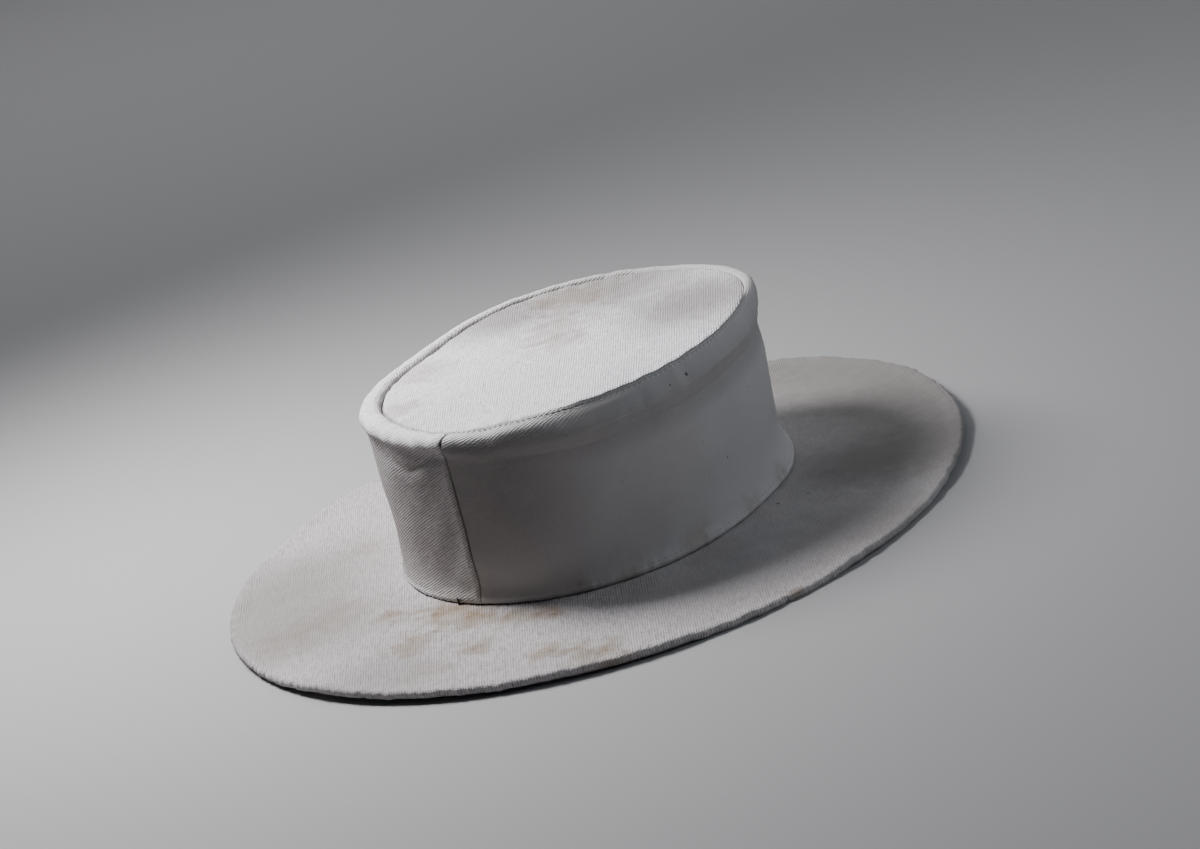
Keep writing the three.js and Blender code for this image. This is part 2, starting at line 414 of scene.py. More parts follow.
def drill_finish(name, white, patches, rib_angle, grit, row=None, edge=None, faded_spots=()):
    """White drill with patches. grit is the contrast of the threads, and they are faint round a faded
    spot. A row of needle holes needs the band's map, and an edge of painted shade is a place along the
    profile."""
    paint = bpy.data.materials.new(name)
    paint.use_nodes = True
    desk = Field(paint.node_tree)
    shader = paint.node_tree.nodes["Principled BSDF"]
    place = desk.node("ShaderNodeTexCoord", {}, {}, out="Object")
    cloth = desk.node("ShaderNodeTexCoord", {}, {}, out="UV") if row else place
    x, y, _ = split(desk, cloth)
    lean = math.radians(rib_angle)
    across = y * math.cos(lean) - x * math.sin(lean)
    along = x * math.cos(lean) + y * math.sin(lean)
    height, rib, slub = drill_weave(desk, across, along)
    blotch = noise(desk, place, BLOTCHES_PER_METRE, 4.0)
    ragged = noise(desk, place, RAGS_PER_METRE, 5.0)
    grain = noise(desk, place, GRAINS_PER_METRE, 2.0)
    # The ribs' share paints shade into the grooves, while the slubs and the grain are the cloth's own
    # tone.
    threads = (rib - 0.5) * 0.24 + (slub - 0.5) * 0.7 + (grain - 0.5) * 0.5
    if row:
        height, threads = fade_band_ribs(desk, x, y, row, (height, rib, slub, threads))
    for spot in faded_spots:
        kept = 1 - stain(desk, cloth, (ragged - 0.5) * EVEN_BORDER, *spot) * 0.6
        height = height * kept
        threads = threads * kept
    shade = threads * grit + (blotch - 0.5) * 0.16 + 0.9
    grey = desk.node("ShaderNodeCombineColor", {}, {"Red": shade, "Green": shade, "Blue": shade})
    blend = {"data_type": "RGBA", "blend_type": "MULTIPLY"}
    base_and_lit = band_white(desk, x, y, row, white) if row else (*white, 1.0)
    colour = desk.node("ShaderNodeMix", blend, {0: 1.0, 6: base_and_lit, 7: grey}, out=2)
    streak = (slub - 0.5).step(0.03, 0.22) * 0.3 + (blotch - 0.5).step(0.0, 0.25) * 0.3
    colour = mix_colour(desk, streak * (0.4 * grit), colour, (*STREAK_TAN, 1.0))
    mottle = noise(desk, place, MOTTLES_PER_METRE, 3.0).step(0.40, 0.66)
    broken = mottle * ((grain + slub).step(0.92, 1.14) * 0.75 + 0.25)
    colour = patched(desk, cloth, patches, ragged, broken, colour)
    fleck = noise(desk, place, FLECKS_PER_METRE, 0.0).step(0.845, 0.88) * 0.3
    colour = mix_colour(desk, fleck, colour, (*FLECK_BROWN, 1.0))
    if row:
        colour, height = sewn_band(desk, x, y, row, ragged, colour, height)
    if edge:
        colour = shaded_seam_edge(desk, x, y, row, edge, ragged, colour)
    relief = desk.node("ShaderNodeBump", {}, {"Height": height, "Distance": RIB_HEIGHT, "Strength": 1.0})
    rough = GROOVE_ROUGHNESS - rib * RIB_GLOSS
    paint.node_tree.links.new(colour.socket, shader.inputs["Base Color"])
    paint.node_tree.links.new(rough.socket, shader.inputs["Roughness"])
    paint.node_tree.links.new(relief.socket, shader.inputs["Normal"])
    shader.inputs["Specular IOR Level"].default_value = CLOTH_SPECULAR
    shader.inputs["Sheen Weight"].default_value = CLOTH_SHEEN
    print(name, "has", len(paint.node_tree.nodes), "nodes")
    return paint


print("a finish for drill is ready")

# %% [markdown]
# ## Wear
# The hat is worn and a little dirty. Tan patches lie on the brim by the foot of the crown, the tip has
# faint smudges, and a few dark specks sit under the roll and beside the foot. Dust and painted shade dull
# parts of the brim and the tip, most towards the front, farther from the lamp, and a darker painted shade
# lies over the brim's front, its right rim and the crown's shadow. On the right the brim's ribs are lower
# and their painted groove shade fainter. Each spot is a place and a reach in millimetres. On the band, the
# place is u, v and 0. A noise makes the borders of the patches ragged, so that they don't look stamped.

# %% Brim and tip finishes
TAN = (0.19, 0.122, 0.045)
# A grey for dust and painted shade, strongest towards the front, farther from the lamp.
DUST_AND_SHADE = (0.25, 0.235, 0.23)
# A darker grey for painted shade over the brim's front, its right rim and the crown's shadow.
SHADE_GREY = (0.20, 0.188, 0.184)
SPECK = (0.045, 0.035, 0.03)
# The brim's white is darker than the tip's, though it is the same drill: painted shade.
BRIM_WHITE = (0.49, 0.465, 0.475)
BRIM_RIB_ANGLE = 126
BRIM_SPOTS = [(2, 108, 4, 20), (13, 104, 4, 13), (-10, 112, 4, 16), (36, 112, 4, 11), (7, 138, 4, 15)]
BRIM_SPOTS += [(-27, 136, 4, 13), (-30, 107, 4, 12), (-42, 103, 4, 12), (-89, 139, 4, 18)]
BRIM_SPOTS += [(-66, 140, 4, 12)]
BRIM_FAINT = [(76, 138, 4, 22), (67, 111, 4, 20), (104, 40, 4, 18), (-20, 160, 4, 16)]
BRIM_FAINT += [(-85, 40, 4, 16), (-66, 74, 4, 14)]
BRIM_SPECKS = [(-91.5, -7, 4.4, 1.3), (-101, -17.7, 4.2, 1.1)]
# Dust and painted shade on the brim.
BRIM_DUST_AND_SHADE = [(60, 125, 5, 50), (0, 168, 5, 40), (110, 70, 5, 56), (105, 130, 5, 60), (90, -120, 5, 60)]
BRIM_DUST_AND_SHADE += [(-100, -105, 5, 80), (-20, -150, 5, 80), (-150, 10, 5, 50), (-60, -150, 5, 70)]
BRIM_DUST_AND_SHADE += [(90, 116, 5, 60), (126, 86, 5, 50)]
# Painted shade on the brim: its front, its right rim and the crown's shadow.
BRIM_SHADE_SPOTS = [(-46, -162, 5, 75), (-100, -140, 5, 70), (15, -165, 5, 60), (-140, -75, 5, 60)]
BRIM_SHADE_SPOTS += [(-110, -50, 5, 45)]
BRIM_EDGE_SPOTS = [(-102, 146, 4, 5), (-147, 76, 3, 5)]
# Round these spots the ribs are lower and their painted groove shade is fainter.
BRIM_FADED_RIBS = [(-112, -45, 5, 125), (-98, 50, 5, 75), (-45, -160, 5, 85)]
TIP_WHITE = (0.84, 0.815, 0.86)
TIP_RIB_ANGLE = 121
TIP_SPOTS = [(18, -19, 84, 26), (2, -7, 84, 18), (62, 20, 80, 22), (40, 66, 82, 16), (30, -62, 86, 30)]
# Dust and painted shade towards the tip's front, farther from the lamp.
TIP_DUST_AND_SHADE = [(20, -78, 86, 70), (-48, -45, 87, 50), (60, -40, 82, 40)]
TIP_EDGE = 102.2

brim_patches = [(DUST_AND_SHADE, 0.47, 0.0, BRIM_DUST_AND_SHADE), (SHADE_GREY, 0.8, 0.0, BRIM_SHADE_SPOTS), (TAN, 0.36, 0.7, BRIM_FAINT)]
brim_patches += [(TAN, 0.95, 0.6, BRIM_SPOTS), (TAN, 0.9, 0.6, BRIM_EDGE_SPOTS)]
brim_patches += [(SPECK, 0.8, 0.0, BRIM_SPECKS)]
tip_patches = [(DUST_AND_SHADE, 0.8, 0.0, TIP_DUST_AND_SHADE), (TAN, 0.55, 0.5, TIP_SPOTS)]
brim_drill = drill_finish("brim_drill", BRIM_WHITE, brim_patches, BRIM_RIB_ANGLE, 1.3, faded_spots=BRIM_FADED_RIBS)
tip_drill = drill_finish("tip_drill", TIP_WHITE, tip_patches, TIP_RIB_ANGLE, 1.1, edge=TIP_EDGE)

# %% [markdown]
# ## Measures of the hat
# These are the values that the solids are made from, in millimetres. The four tables give the hat's
# unevenness every 30 degrees round, from +X towards the back: the crown's top edge rises and falls and
# turns over in a wider or narrower strip, its foot waves, and the brim's edge lifts off the floor in
# places. A smooth closed curve reads each table.

# %% Measures
HALF_LENGTH = 100.0
HALF_WIDTH = 86.0
CROWN_HEIGHT = 78.5
CROWN_LEAN = (-0.9, -0.8)
RIM_LENGTH = 183.0
RIM_WIDTH = 163.0
FOOT_HEIGHT = 4.8
EDGE_BAND = 7.0
EDGE_THICKNESS = 3.6
SIDE_WALL = 2.2
TIP_WALL = 2.2
BRIM_WALL = 2.8
GAP = 0.3
TOP_LIFT = [-3.25, -2.5, -1.0, -2.75, -0.5, 0.75, 2.5, 4.5, 3.5, 1.75, 2.0, 1.25]
TOP_STRIP = [7.5, 8.0, 8.5, 7.5, 7.0, 5.5, 4.5, 3.5, 5.0, 6.0, 6.0, 6.5]
FOOT_LIFT = [-0.4, -0.8, -0.4, -0.6, -1.6, -1.9, -0.4, 0.8, 1.4, 1.4, 1.0, 0.3]
RIM_LIFT = [0.0, 0.0, 1.0, 2.0, 1.25, 0.0, 0.25, 2.75, 3.75, 1.5, 0.0, 0.0]
EVEN_STRIP = 6.5


def between(before, start, end, after, share):
    """A smooth curve through four places in a row, at a share of the way from start to end."""
    bend = 2 * before - 5 * start + 4 * end - after
    turn = 3 * (start - end) + after - before
    return start + 0.5 * share * (end - before + share * (bend + share * turn))


def around(table, angle):
    """Reads a table of evenly spaced values as a smooth closed curve of the angle."""
    values = np.array(table)
    count = len(values)
    place = np.mod(angle / (2 * math.pi), 1.0) * count
    first = np.floor(place).astype(int)
    four = [values[(first + k) % count] for k in (-1, 0, 1, 2)]
    return between(*four, place - first)


side_tops = around(TOP_LIFT, np.array([0.0, math.pi])) + FOOT_HEIGHT + CROWN_HEIGHT
print("crown top lies", side_tops, "mm up at its sides")

# %% [markdown]
# ## Turning a profile into cloth
# All three pieces are rings or discs, so each starts as a profile of a few dozen points that is spun
# round the axis. Two layers remember where a vertex lies along the profile and whether it is on the face
# that shows. A spin of a thousand steps is slow, so it takes an eighth of them and the edges that run
# round are then cut in eight.

# %% Spinning
RING_CUTS = 7
TOUCHING = 1e-4


def ring_edges(shape):
    """The edges that run round the axis: both ends have one radius and one height."""
    rings = []
    for edge in shape.edges:
        first, second = (vert.co for vert in edge.verts)
        wider = abs(first.xy.length - second.xy.length)
        higher = abs(first.z - second.z)
        if max(wider, higher) < TOUCHING:
            rings.append(edge)
    return rings


def spun(name, profile, skin, steps):
    """Spins a closed or axis-to-axis profile of (radius, up) round the axis and gives its mesh."""
    shape = bmesh.new()
    along_layer = shape.verts.layers.float.new("along")
    skin_layer = shape.verts.layers.float.new("skin")
    corners = []
    length = 0.0
    for i, (radius, up) in enumerate(profile):
        corner = shape.verts.new((radius, 0.0, up))
        length += math.dist(profile[i - 1], profile[i]) if i else 0.0
        corner[along_layer] = length
        corner[skin_layer] = skin[i]
        corners.append(corner)
    for first, second in zip(corners, corners[1:]):
        shape.edges.new((first, second))
    if profile[0][0] > 0:
        shape.edges.new((corners[-1], corners[0]))
    whole = corners + shape.edges[:]
    axis = {"cent": (0, 0, 0), "axis": (0, 0, 1), "angle": 2 * math.pi}
    bmesh.ops.spin(shape, geom=whole, steps=steps, use_merge=True, **axis)
    bmesh.ops.remove_doubles(shape, verts=shape.verts[:], dist=TOUCHING)
    bmesh.ops.subdivide_edges(shape, edges=ring_edges(shape), cuts=RING_CUTS)
    bmesh.ops.recalc_face_normals(shape, faces=shape.faces[:])
    mesh = bpy.data.meshes.new(name)
    shape.to_mesh(mesh)
    shape.free()
    return mesh


print("each ring edge is cut into", RING_CUTS + 1)

# %% [markdown]
# ## Laying a ring on the oval
# The spun ring is round and even, and the hat is neither. A lattice could squeeze the ring into an oval,
# but not give it seams and folds. So every vertex keeps its angle and its place in the profile, and a
# function of the piece moves it. A finished mesh then rides on the hat's one body, and hides the solid
# that it stands for.

# %% Laying
WHOLE_TURN = 2 * math.pi - 1e-6


def laid(mesh, place):
    """Moves every vertex to place(turn, radius, up, skin), which gives x, y and z in millimetres. Returns
    each vertex's turn and its place along the profile."""
    count = len(mesh.vertices)
    spots = np.empty(count * 3)
    mesh.vertices.foreach_get("co", spots)
    spots = spots.reshape(count, 3)
    turn = np.mod(np.arctan2(spots[:, 1], spots[:, 0]), 2 * math.pi)
    turn[turn > WHOLE_TURN] = 0.0
    radius = np.hypot(spots[:, 0], spots[:, 1])
    skin = np.empty(count)
    along = np.empty(count)
    mesh.attributes["skin"].data.foreach_get("value", skin)
    mesh.attributes["along"].data.foreach_get("value", along)
    x, y, z = place(turn, radius, spots[:, 2], skin)
    mesh.vertices.foreach_set("co", (np.stack([x, y, z], axis=1) * MM).ravel())
    mesh.update()
    return turn, along


def shown(mesh, node, paint):
    """Puts a finished mesh into the scene, in place of its solid where it has one."""
    piece = bpy.data.objects.new(mesh.name, mesh)
    bpy.context.scene.collection.objects.link(piece)
    mesh.materials.append(paint)
    mesh.polygons.foreach_set("use_smooth", np.ones(len(mesh.polygons), dtype=bool))
    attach(piece, "root")
    if node:
        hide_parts(node)
    print(piece.name, "has", sum(len(face.vertices) - 2 for face in mesh.polygons), "triangles")


# %% [markdown]
# ## Uneven cloth
# Sewn cloth is never quite even: it swells, sags and puckers a little. A Displace modifier could move the
# vertices by a noise, but each kind of bump would need its own texture and vertex group. Here a sum of
# waves with random headings gives the bumps, a ramp keeps them to a part of the piece, and a bell curve
# makes a single hump or hollow. The seeds are fixed, so that each run gives the same cloth. A kind of bump
# is its height and its length in millimetres, and its seed.

# %% Uneven cloth
WAVES = 14
WAVE_LENGTHS = (1.2, 2.6)
WAVE_STARTS = (0, 6.3)


def ramp(value, low, high):
    """Goes smoothly from 0 at low to 1 at high."""
    share = np.clip((value - low) / (high - low), 0.0, 1.0)
    return share * share * (3 - 2 * share)


def bell(away, width):
    """1 where away is 0, and fading to 0 on both sides."""
    return np.exp(-((away / width) ** 2))


def crumple(first, second, height, length, seed):
    """A smooth random field of two places, with bumps of about this height and length."""
    draw = np.random.default_rng(seed)
    total = np.zeros(np.broadcast(first, second).shape)
    for _ in range(WAVES):
        heading = draw.uniform(0, 2 * math.pi)
        pace = 2 * math.pi / (length * draw.uniform(*WAVE_LENGTHS))
        way = first * math.cos(heading) + second * math.sin(heading)
        total += np.cos(pace * way + draw.uniform(*WAVE_STARTS))
    return height * math.sqrt(2 / WAVES) * total


print("a bump is a sum of", WAVES, "waves")

# %% [markdown]
# ## The brim
# The brim is a stiff sheet of drill, and its cloth is turned round the edge. It isn't quite flat: it
# lifts off the floor in two places, and the edge is lumpy where the cloth was pulled tight. A bevelled
# disc would have an even edge, so the profile is one sheet with a thicker round edge, and the lumps are
# moved in afterwards.

# %% Brim
BRIM_STEPS = 170
UNDER_ROWS = 14
EDGE_ROWS = 11
BAND_ROWS = 5
OVER_ROWS = 36
EDGE_TURN = 75
BAND_STEP = 3.0
OPENING_INSET = 4.6
OPENING = HALF_LENGTH - OPENING_INSET
FOOT_EDGE = HALF_LENGTH + 1.0
BAND = RIM_LENGTH - EDGE_BAND
RIM_RADIUS = 172.0
RIM_NICK = math.radians(153.5)
NICK_DEPTH = 0.9
NICK_WIDTH = 1.6
FINE_SIDE = math.radians(80)
RIM_LUMPS = (0.16, 4.6, 11)
FINE_LUMPS = (0.16, 2.2, 12)
BRIM_SWAY = (0.35, 38.0, 13)
BRIM_BUMPS = (0.10, 9.0, 14)
EDGE_SWELL = (0.12, 5.0, 15)


def foot_level(angle):
    """The height of the brim's top at the foot of the crown."""
    return FOOT_HEIGHT + around(FOOT_LIFT, angle)


def brim_profile():
    """The brim's outline from the opening along the underside, round the edge and back over the top."""
    turn = EDGE_THICKNESS / 2
    under = [(radius, 0.0) for radius in np.linspace(OPENING, RIM_LENGTH - turn, UNDER_ROWS)]
    edge = []
    for angle in np.radians(np.linspace(-EDGE_TURN, EDGE_TURN, EDGE_ROWS)):
        edge.append((RIM_LENGTH - turn + turn * math.cos(angle), turn + turn * math.sin(angle)))
    band_radii = np.linspace(RIM_LENGTH - turn, BAND + BAND_STEP, BAND_ROWS)
    band = [(radius, EDGE_THICKNESS) for radius in band_radii]
    over = [(radius, BRIM_WALL) for radius in np.linspace(BAND, OPENING, OVER_ROWS)]
    return under + edge + band + over, [0] * UNDER_ROWS + [1] * (EDGE_ROWS + BAND_ROWS + OVER_ROWS)


def brim_spot(angle, radius, up, skin):
    """Lays the brim between the foot and the rim, and adds its lumps, its nick and its soft bumps."""
    share = (radius - OPENING) / (RIM_LENGTH - OPENING)
    half_width = HALF_WIDTH - OPENING_INSET + (RIM_WIDTH - HALF_WIDTH + OPENING_INSET) * share
    reach = np.clip((radius - FOOT_EDGE) / (BAND - FOOT_EDGE), 0.0, 1.0)
    rim = np.maximum(around(RIM_LIFT, angle), 0.0)
    level = (foot_level(angle) - BRIM_WALL) * (1 - reach) + rim * reach
    arc = angle * RIM_RADIUS
    near_edge = ramp(radius, RIM_LENGTH - 9, RIM_LENGTH - 1)
    fine = ramp(np.cos(angle - FINE_SIDE), 0.0, 0.9)
    lump = crumple(arc, 0 * arc, *RIM_LUMPS) * (1 - fine) + crumple(arc, 0 * arc, *FINE_LUMPS) * fine
    nick = NICK_DEPTH * bell((angle - RIM_NICK) * RIM_RADIUS, NICK_WIDTH)
    out = near_edge * (lump - nick)
    x = (half_width + out) * np.cos(angle)
    y = (radius + out) * np.sin(angle)
    soft = crumple(x, y, *BRIM_SWAY) * ramp(radius, FOOT_EDGE + 2, FOOT_EDGE + 25)
    small = crumple(x, y, *BRIM_BUMPS)
    swell = near_edge * crumple(arc, 0 * arc, *EDGE_SWELL)
    z = level + up + skin * (soft + small + swell)
    return x, y, np.maximum(z, 0.0)


brim_mesh = spun("brim_cloth", *brim_profile(), BRIM_STEPS)
laid(brim_mesh, brim_spot)
shown(brim_mesh, "brim", brim_drill)

# %% [markdown]
# ## The side band
# One length of drill goes round the head and is sewn together at the back. It stands on the brim in a
# narrow lip, runs up almost straight and rolls over onto the top. Arcs and straight lines could give its
# outline, but a smooth line through a few points follows the soft cloth more closely. A point is how far
# it lies out from the foot's oval and how far up from the brim.

# %% Band outline
SIDE_ROWS = 74
INNER_ROWS = 26
LINE_STEPS = 24
SEAM_INSET = 1.7
SIDE_OUTLINE = [(-1.4, 0), (-0.8, 0.8), (-0.6, 1.9), (-1.0, 3.1), (-1.7, 4.8), (-2.3, 8.5), (-2.4, 25)]
SIDE_OUTLINE += [(-2.0, 42), (-1.4, 57), (-1.2, 64), (-0.9, 70), (0.2, 72.8), (0.9, 75), (0.4, 77)]
SIDE_OUTLINE += [(-0.9, 78.5), (-3.2, 79.1), (-6.0, 78.8), (-7.5, 78.1)]
# The band's white is darker than the tip's and the lit strip's, though it is the same drill: painted
# shade.
SIDE_WHITE = (0.54, 0.525, 0.53)
SIDE_RIB_ANGLE = 27
SIDE_SPECKS = [(119, 79, 0, 1.1), (109, 78.5, 0, 0.6), (132, 29, 0, 0.6)]
FOOT_SOIL = [(48, 2, 0, 9), (72, 2, 0, 8), (106, 3, 0, 12), (140, 2, 0, 9), (168, 3, 0, 10)]


def smooth_line(points, count):
    """A smooth open line through points, with count places at even steps of its length."""
    knots = np.array(points, dtype=float)
    padded = np.vstack([2 * knots[0] - knots[1], knots, 2 * knots[-1] - knots[-2]])
    fine = []
    for k in range(len(knots) - 1):
        for share in np.linspace(0, 1, LINE_STEPS, endpoint=False):
            fine.append(between(*padded[k:k + 4], share))
    fine = np.array(fine + [knots[-1]])
    length = np.concatenate([[0], np.cumsum(np.hypot(*np.diff(fine, axis=0).T))])
    even = np.linspace(0, length[-1], count)
    return np.stack([np.interp(even, length, fine[:, 0]), np.interp(even, length, fine[:, 1])], axis=1)


def side_profile():
    """The side band's outline: its outer line, then the inner line one wall inside it."""
    outer = [(HALF_LENGTH + out, up) for out, up in side_line]
    line = smooth_line(SIDE_OUTLINE, INNER_ROWS)
    heading = np.gradient(line, axis=0)
    heading /= np.hypot(heading[:, 0], heading[:, 1])[:, None]
    inner = line + SIDE_WALL * np.stack([-heading[:, 1], heading[:, 0]], axis=1)
    inner[0, 1] = line[0, 1]
    inner[-1, 0] = line[-1, 0]
    back = [(HALF_LENGTH + out, up) for out, up in inner[::-1]]
    return outer + back, [1] * SIDE_ROWS + [0] * INNER_ROWS


side_line = smooth_line(SIDE_OUTLINE, SIDE_ROWS)
line_places = np.concatenate([[0], np.cumsum(np.hypot(*np.diff(side_line, axis=0).T))])
side_length = line_places[-1]
side_row = side_length - SEAM_INSET
side_patches = [(SPECK, 0.95, 0.0, SIDE_SPECKS), (TAN, 0.45, 0.6, FOOT_SOIL)]
side_drill = drill_finish(
    "side_drill", SIDE_WHITE, side_patches, SIDE_RIB_ANGLE, 1.0, row=side_row, edge=side_length
)
print("the band's profile is", round(side_length, 1), "mm long")

# %% [markdown]
# ## Seam and folds
# The left end lies over the right one at the seam, so the cloth swells towards it and drops into a
# groove, and beside the tip it leaves a small notch. Soft folds hang below the roll. A sculpted mesh could
# hold these, but each is a simple hump or hollow across a line, so a bell curve gives its depth.

# %% Seam and folds
SEAM = math.radians(92.5)
SEAM_RADIUS = 98.0
LEFT_FOLD = [(57, 69), (65, 65.5), (71, 62.8), (75.5, 61), (83, 66), (91, 71)]
RIGHT_FOLD = [(100, 69), (128, 66), (165, 65), (190, 66), (214, 67), (240, 68)]
LEFT_FOLD_DEPTH = 1.2
RIGHT_FOLD_DEPTH = 0.45
FOLD_WIDTH = 2.0
LEFT_SWELL = 1.1
RIGHT_SWELL = 0.5
GROOVE_DEPTH = 0.8
GROOVE_WIDTH = 0.5
NOTCH_DEPTH = 1.2
NOTCH_WIDTH = 0.9


def fold(angle, up, knots, depth):
    """A soft fold that hangs along knots of (degrees, up): a crease with a swelling below it."""
    turns, heights = zip(*knots)
    degrees = np.degrees(np.mod(angle, 2 * math.pi))
    line = np.interp(degrees, turns, heights)
    ends = ramp(degrees, turns[0], turns[1]) * (1 - ramp(degrees, turns[-2], turns[-1]))
    crease = bell(up - line, FOLD_WIDTH)
    swell = bell(up - line + 2.4 * FOLD_WIDTH, 1.6 * FOLD_WIDTH)
    return ends * depth * (0.15 * swell - crease)


def seam_shape(angle, up):
    """How far the cloth stands out near the back seam, and how far its groove goes in."""
    side = (np.mod(angle - SEAM + math.pi, 2 * math.pi) - math.pi) * SEAM_RADIUS
    left = LEFT_SWELL * np.exp(np.minimum(side, 0.0) / 9.0) * (side <= 0)
    right = RIGHT_SWELL * np.exp(-np.maximum(side, 0.0) / 7.0) * (side > 0)
    groove = GROOVE_DEPTH * bell(side - SEAM_LINE, GROOVE_WIDTH) * (1 - 0.6 * ramp(up, 72.0, 75.0))
    notch = NOTCH_DEPTH * bell(side, NOTCH_WIDTH) * ramp(up, 77.9, 78.8)
    body = ramp(up, 1.5, 5.0) * (1 - 0.8 * ramp(up, 66.0, 74.0))
    return body * (left + right) - ramp(up, 1.0, 3.0) * groove - notch


print("seam at", round(math.degrees(SEAM), 1), "degrees from +X")

# %% [markdown]
# ## The fallen roll
# The roll isn't the same all round. On the right it has fallen away from the tip's seam: into a gentle
# slope beside the back, and then into a steeper one. At the right front it is a thick round bead. Three
# more lines give these forms, point for point beside the plain roll. What is kept of each is how far it
# lies from the plain one at every place of the profile, so that the forms can be mixed round the head.

# %% Fallen roll
ROLL_KNOTS = [(-1.7, 49.5), (-1.4, 57), (-1.2, 64), (-0.9, 70), (0.2, 72.8), (0.9, 75), (0.4, 77)]
ROLL_KNOTS += [(-0.9, 78.5), (-3.2, 79.1), (-6.0, 78.8), (-7.5, 78.1)]
NEAR_ROLL = [(-1.7, 49.5), (-1.6, 56.3), (-1.8, 61.8), (-1.8, 65.6), (-1.5, 68.4), (-1.5, 70.9)]
NEAR_ROLL += [(-1.7, 73.1), (-2.4, 75.0), (-3.9, 76.7), (-6.1, 78.1), (-7.5, 78.55)]
FAR_ROLL = [(-1.7, 49.5), (-1.9, 55.2), (-1.9, 60.4), (-1.2, 64.2), (-0.8, 66.4), (-1.0, 68.3)]
FAR_ROLL += [(-1.9, 70.2), (-3.1, 72), (-4.9, 74.6), (-6.7, 77.1), (-7.5, 78.3)]
END_ROLL = [(-1.7, 49.5), (-2.4, 55.4), (-2.9, 61.4), (-1.8, 66.0), (-0.4, 69.4), (0.6, 72.2)]
END_ROLL += [(0.8, 74.4), (-0.1, 76.6), (-2.2, 78.0), (-5.0, 78.6), (-7.5, 78.3)]
ROLL_STEPS = 80


def shoulder(angle):
    """How far the roll has fallen: fully on the right, less in front and not on the left."""
    degrees = np.degrees(np.mod(angle, 2 * math.pi))
    return ramp(degrees, 88, 106) * (1 - 0.6 * ramp(degrees, 240, 300) - 0.4 * ramp(degrees, 320, 360))


def along_line(even, up):
    """The place along the band's outline that lies closest to each point."""
    nearest = np.zeros(np.shape(even), dtype=int)
    least = np.full(np.shape(even), np.inf)
    for k, (out, height) in enumerate(side_line):
        away = (even - out) ** 2 + (up - height) ** 2
        nearest[away < least] = k
        least = np.minimum(least, away)
    return line_places[nearest]


def roll_moves(roll):
    """How far a form of the roll lies out from the plain one, and how far up, along the profile."""
    plain = np.array(ROLL_KNOTS, dtype=float)
    shifts = np.array(roll, dtype=float) - plain
    stops = along_line(plain[:, 0], plain[:, 1])
    return [smooth_line(np.stack([stops, shift], axis=1), ROLL_STEPS) for shift in shifts.T]


def fallen(angle, even, up):
    """How far the roll has moved out and up where it has fallen."""
    degrees = np.degrees(np.mod(angle, 2 * math.pi))
    steep = ramp(degrees, 114, 134)
    bead = ramp(degrees, 198, 228)
    shares = (1 - steep, steep * (1 - bead), steep * bead)
    places = along_line(even, up)
    moves = []
    for lines in zip(near_moves, far_moves, end_moves):
        move = 0.0
        for line, share in zip(lines, shares):
            move = move + share * np.interp(places, line[:, 0], line[:, 1])
        moves.append(shoulder(angle) * move)
    return moves


near_moves, far_moves, end_moves = (roll_moves(roll) for roll in (NEAR_ROLL, FAR_ROLL, END_ROLL))
print("the bead stands out", round(float(end_moves[0][:, 1].max()), 1), "mm past the plain roll")

# %% [markdown]
# ## Laying the band
# Here all of it comes together. The ring is laid on the crown's oval, which leans a little. The wall
# sways, the roll puckers, and the foot flares out at the right front. The vertices are drawn together
# near the seam, where the small shapes are. The cloth also gets its map in metres, which the weave and the
# marks read.

# %% Side band
SIDE_STEPS = 118
SIDE_RADIUS = 93.0
ROLL_OUT = 0.9
ROLL_UP = 75.0
SEAM_OUT = -7.5
FLARE = 2.4
FLARE_ANGLE = math.radians(222)
SEAM_GATHER = 0.6
SIDE_SWAY = (0.35, 40.0, 21)
SIDE_BUMPS = (0.12, 14.0, 22)
ROLL_PUCKERS = (0.16, 6.0, 23)
LIP_PUCKERS = (0.07, 3.0, 24)


def side_spot(angle, even, up, skin):
    """Lays the band: even is how far a point lies out from the oval of the foot, before any unevenness."""
    turned = ramp(up, ROLL_UP - SIDE_WALL, ROLL_UP)
    across = np.clip((ROLL_OUT - even) / (ROLL_OUT - SEAM_OUT), 0.0, 1.0)
    arc = angle * SIDE_RADIUS
    wall = ramp(up, 2.0, 14.0) * (1 - turned)
    top = ramp(up, 68.0, 75.0)
    sway = crumple(arc, up, *SIDE_SWAY) + crumple(arc, up, *SIDE_BUMPS)
    pucker = crumple(arc, 0.6 * up, *ROLL_PUCKERS)
    lip = crumple(arc, 0 * arc, *LIP_PUCKERS) * (1 - ramp(up, 3.0, 7.0))
    folds = fold(angle, up, LEFT_FOLD, LEFT_FOLD_DEPTH) + fold(angle, up, RIGHT_FOLD, RIGHT_FOLD_DEPTH)
    relief = skin * (wall * sway + top * pucker + lip + folds * (1 - turned) + seam_shape(angle, up))
    fallen_out, fallen_up = fallen(angle, even, up)
    flare = FLARE * ramp(np.cos(angle - FLARE_ANGLE), 0.80, 0.97) * (1 - ramp(up, 0.0, 16.0))
    out = even + fallen_out + flare + (EVEN_STRIP - around(TOP_STRIP, angle)) * across * turned
    flat = turned * across
    rise = up / CROWN_HEIGHT
    x = (HALF_WIDTH + out + relief * (1 - flat)) * np.cos(angle) + CROWN_LEAN[0] * rise
    y = (HALF_LENGTH + out + relief * (1 - flat)) * np.sin(angle) + CROWN_LEAN[1] * rise
    hem = 1.4 * ramp(across, 0.86, 1.0) * (1 - 0.9 * shoulder(angle))
    drop = turned * skin * hem - fallen_up
    foot = foot_level(angle) + GAP
    top_level = FOOT_HEIGHT + CROWN_HEIGHT + around(TOP_LIFT, angle)
    z = foot * (1 - rise) + top_level * rise + relief * flat - drop
    return x, y, z


